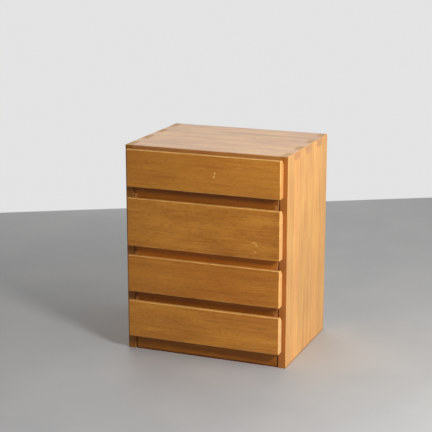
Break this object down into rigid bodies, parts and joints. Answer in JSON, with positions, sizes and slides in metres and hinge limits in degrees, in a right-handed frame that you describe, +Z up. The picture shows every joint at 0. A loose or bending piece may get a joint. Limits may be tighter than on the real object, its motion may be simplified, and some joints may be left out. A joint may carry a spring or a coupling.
{
  "type": "chest of drawers",
  "caption": "Free-standing solid wood chest of handleless drawers: thick overlay fronts with finger gaps, boxes on side runners, finger-jointed top corners, plain plinth board.",
  "frame": {"origin": "centre of the footprint on the floor, where the footprint runs from the face of the drawer fronts to the back of the carcass", "axes": "+Z up, -Y towards the person who opens the drawers, +X to the right seen from the front"},
  "size_m": [0.6, 0.4804, 0.75],
  "materials": {
    "pine": "oiled, satin, worn paler on the arrises",
    "pine_front": "oiled, satin, darker, with pale scratches",
    "pine_box": "planed, unfinished, darkened with age",
    "plywood": "sanded, unfinished",
    "beech": "planed, polished by use",
    "zinc_steel": "zinc plated, dull"
  },
  "bodies": {
    "carcass": {"top_panel": "pine", "side_panel_left": "pine", "side_panel_right": "pine", "bottom_panel": "pine", "plinth_board": "pine", "glue_block_left": "pine", "glue_block_right": "pine", "back_panel": "plywood", "back_pins": "zinc_steel", "runner_screws": "zinc_steel", "runner_1_left": "beech", "runner_1_right": "beech", "runner_2_left": "beech", "runner_2_right": "beech", "runner_3_left": "beech", "runner_3_right": "beech", "runner_4_left": "beech", "runner_4_right": "beech"},
    "drawer_1": {"drawer_1_front": "pine_front", "drawer_1_inner_front": "pine_box", "drawer_1_side_left": "pine_box", "drawer_1_side_right": "pine_box", "drawer_1_back": "pine_box", "drawer_1_bottom": "plywood", "drawer_1_front_screws": "zinc_steel"},
    "drawer_2": {"drawer_2_front": "pine_front", "drawer_2_inner_front": "pine_box", "drawer_2_side_left": "pine_box", "drawer_2_side_right": "pine_box", "drawer_2_back": "pine_box", "drawer_2_bottom": "plywood", "drawer_2_front_screws": "zinc_steel"},
    "drawer_3": {"drawer_3_front": "pine_front", "drawer_3_inner_front": "pine_box", "drawer_3_side_left": "pine_box", "drawer_3_side_right": "pine_box", "drawer_3_back": "pine_box", "drawer_3_bottom": "plywood", "drawer_3_front_screws": "zinc_steel"},
    "drawer_4": {"drawer_4_front": "pine_front", "drawer_4_inner_front": "pine_box", "drawer_4_side_left": "pine_box", "drawer_4_side_right": "pine_box", "drawer_4_back": "pine_box", "drawer_4_bottom": "plywood", "drawer_4_front_screws": "zinc_steel"}
  },
  "joints": [
    {"name": "drawer_1_slide", "type": "slide", "parent": "carcass", "child": "drawer_1", "axis": [0, -1, 0], "range_m": [0, 0.28]},
    {"name": "drawer_2_slide", "type": "slide", "parent": "carcass", "child": "drawer_2", "axis": [0, -1, 0], "range_m": [0, 0.28]},
    {"name": "drawer_3_slide", "type": "slide", "parent": "carcass", "child": "drawer_3", "axis": [0, -1, 0], "range_m": [0, 0.28]},
    {"name": "drawer_4_slide", "type": "slide", "parent": "carcass", "child": "drawer_4", "axis": [0, -1, 0], "range_m": [0, 0.28]}
  ]
}
